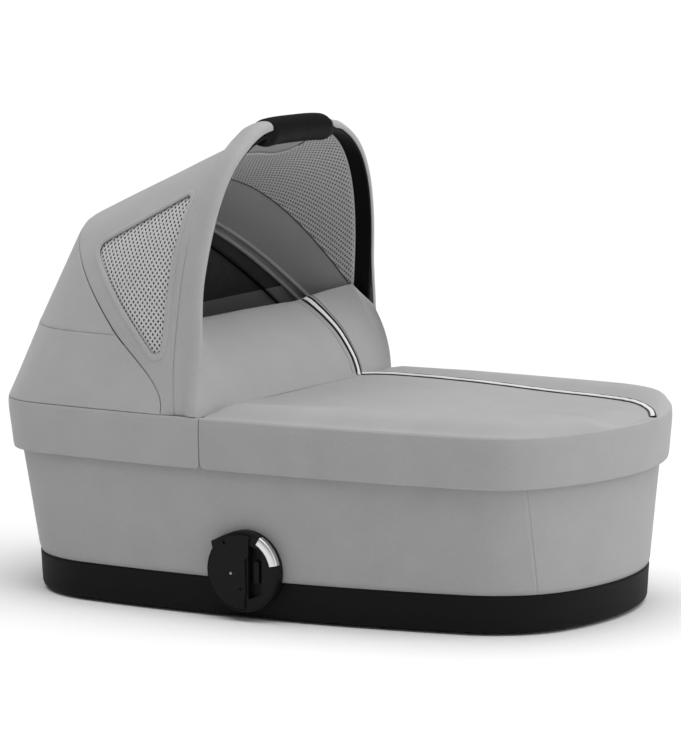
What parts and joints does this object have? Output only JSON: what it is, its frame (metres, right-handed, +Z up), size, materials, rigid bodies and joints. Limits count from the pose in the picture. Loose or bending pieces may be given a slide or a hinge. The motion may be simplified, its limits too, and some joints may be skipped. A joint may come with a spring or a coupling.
{
  "type": "carrycot",
  "caption": "Pram carrycot: moulded tub in fabric, zip-off apron with wind flap, folding hood with net windows and padded grip, round side adapters.",
  "frame": {"origin": "centre of the bounding box, on the floor under the feet", "axes": "+X to the foot end, +Y to the cot's left as seen from the head end facing the foot, +Z up"},
  "size_m": [0.8289, 0.4852, 0.5701],
  "materials": {
    "black_plastic": "fine-grained moulded",
    "rubber": "matt",
    "steel": "zinc plated",
    "inner_plastic": "moulded",
    "pale_fabric": "fine woven melange",
    "lining_fabric": "soft knitted",
    "net_fabric": "open net",
    "leatherette": "fine-grained leatherette",
    "silver": "satin"
  },
  "bodies": {
    "cot": {"base_tray": "black_plastic", "rim_frame": "black_plastic", "pivot_bracket_left": "black_plastic", "pivot_bracket_right": "black_plastic", "adapter_housing_left": "black_plastic", "adapter_housing_right": "black_plastic", "adapter_plate_left": "black_plastic", "adapter_plate_right": "black_plastic", "foot_1": "rubber", "foot_2": "rubber", "foot_3": "rubber", "foot_4": "rubber", "tray_screw_1": "steel", "tray_screw_2": "steel", "tray_screw_3": "steel", "tray_screw_4": "steel", "tray_screw_5": "steel", "tray_screw_6": "steel", "hood_pin_left": "steel", "hood_pin_right": "steel", "plate_rivet_left": "steel", "plate_rivet_right": "steel", "tub_shell": "inner_plastic", "floor_board": "inner_plastic", "side_cover": "pale_fabric", "rim_band": "pale_fabric", "hood_skirt": "pale_fabric", "inner_lining": "lining_fabric", "mattress": "lining_fabric"},
    "rear_bow": {"rear_bow": "black_plastic", "hood_back_panel": "pale_fabric"},
    "front_bow": {"front_bow": "black_plastic", "handle_grip": "leatherette", "hood_front_panel": "pale_fabric", "hood_lining": "lining_fabric", "window_net_left": "net_fabric", "window_net_right": "net_fabric"},
    "apron": {"apron": "pale_fabric"},
    "wind_flap": {"wind_flap": "pale_fabric"},
    "hood_button_left": {"hood_button_left": "rubber"},
    "hood_button_right": {"hood_button_right": "rubber"},
    "release_clip_left": {"release_clip_left": "silver"},
    "release_clip_right": {"release_clip_right": "silver"},
    "latch_left": {"latch_left": "black_plastic"},
    "latch_right": {"latch_right": "black_plastic"}
  },
  "joints": [
    {"name": "rear_bow_fold", "type": "hinge", "parent": "cot", "child": "rear_bow", "pos_m": [-0.0905, 0, 0.225], "axis": [0, -1, 0], "range_deg": [0, 36.7], "deforming": ["hood_back_panel", "hood_skirt"]},
    {"name": "front_bow_fold", "type": "hinge", "parent": "rear_bow", "child": "front_bow", "pos_m": [-0.0905, 0, 0.225], "axis": [0, -1, 0], "range_deg": [0, 42.2], "deforming": ["hood_front_panel", "hood_lining", "window_net_left", "window_net_right"]},
    {"name": "apron_off", "type": "slide", "parent": "cot", "child": "apron", "axis": [1, 0, 0], "range_m": [0, 0.5]},
    {"name": "flap_fold", "type": "hinge", "parent": "apron", "child": "wind_flap", "pos_m": [-0.0453, 0, 0.2433], "axis": [0, 1, 0], "range_deg": [0, 70]},
    {"name": "hood_button_left_press", "type": "slide", "parent": "cot", "child": "hood_button_left", "axis": [0, 1, 0], "range_m": [0, 0.003], "stiffness_N_per_m": 600, "springref_m": -0.003},
    {"name": "release_clip_left_press", "type": "slide", "parent": "cot", "child": "release_clip_left", "axis": [0, -1, 0], "range_m": [0, 0.003], "stiffness_N_per_m": 900, "springref_m": -0.003},
    {"name": "latch_left_draw", "type": "slide", "parent": "cot", "child": "latch_left", "axis": [0, 0, -1], "range_m": [0, 0.006]},
    {"name": "hood_button_right_press", "type": "slide", "parent": "cot", "child": "hood_button_right", "axis": [0, -1, 0], "range_m": [0, 0.003], "stiffness_N_per_m": 600, "springref_m": -0.003},
    {"name": "release_clip_right_press", "type": "slide", "parent": "cot", "child": "release_clip_right", "axis": [0, 1, 0], "range_m": [0, 0.003], "stiffness_N_per_m": 900, "springref_m": -0.003},
    {"name": "latch_right_draw", "type": "slide", "parent": "cot", "child": "latch_right", "axis": [0, 0, -1], "range_m": [0, 0.006]}
  ],
  "couplings": [
    {"joint": "front_bow_fold", "follows": "rear_bow_fold", "ratio": 1.15},
    {"joint": "latch_left_draw", "follows": "release_clip_left_press", "ratio": 2},
    {"joint": "latch_right_draw", "follows": "release_clip_right_press", "ratio": 2}
  ]
}
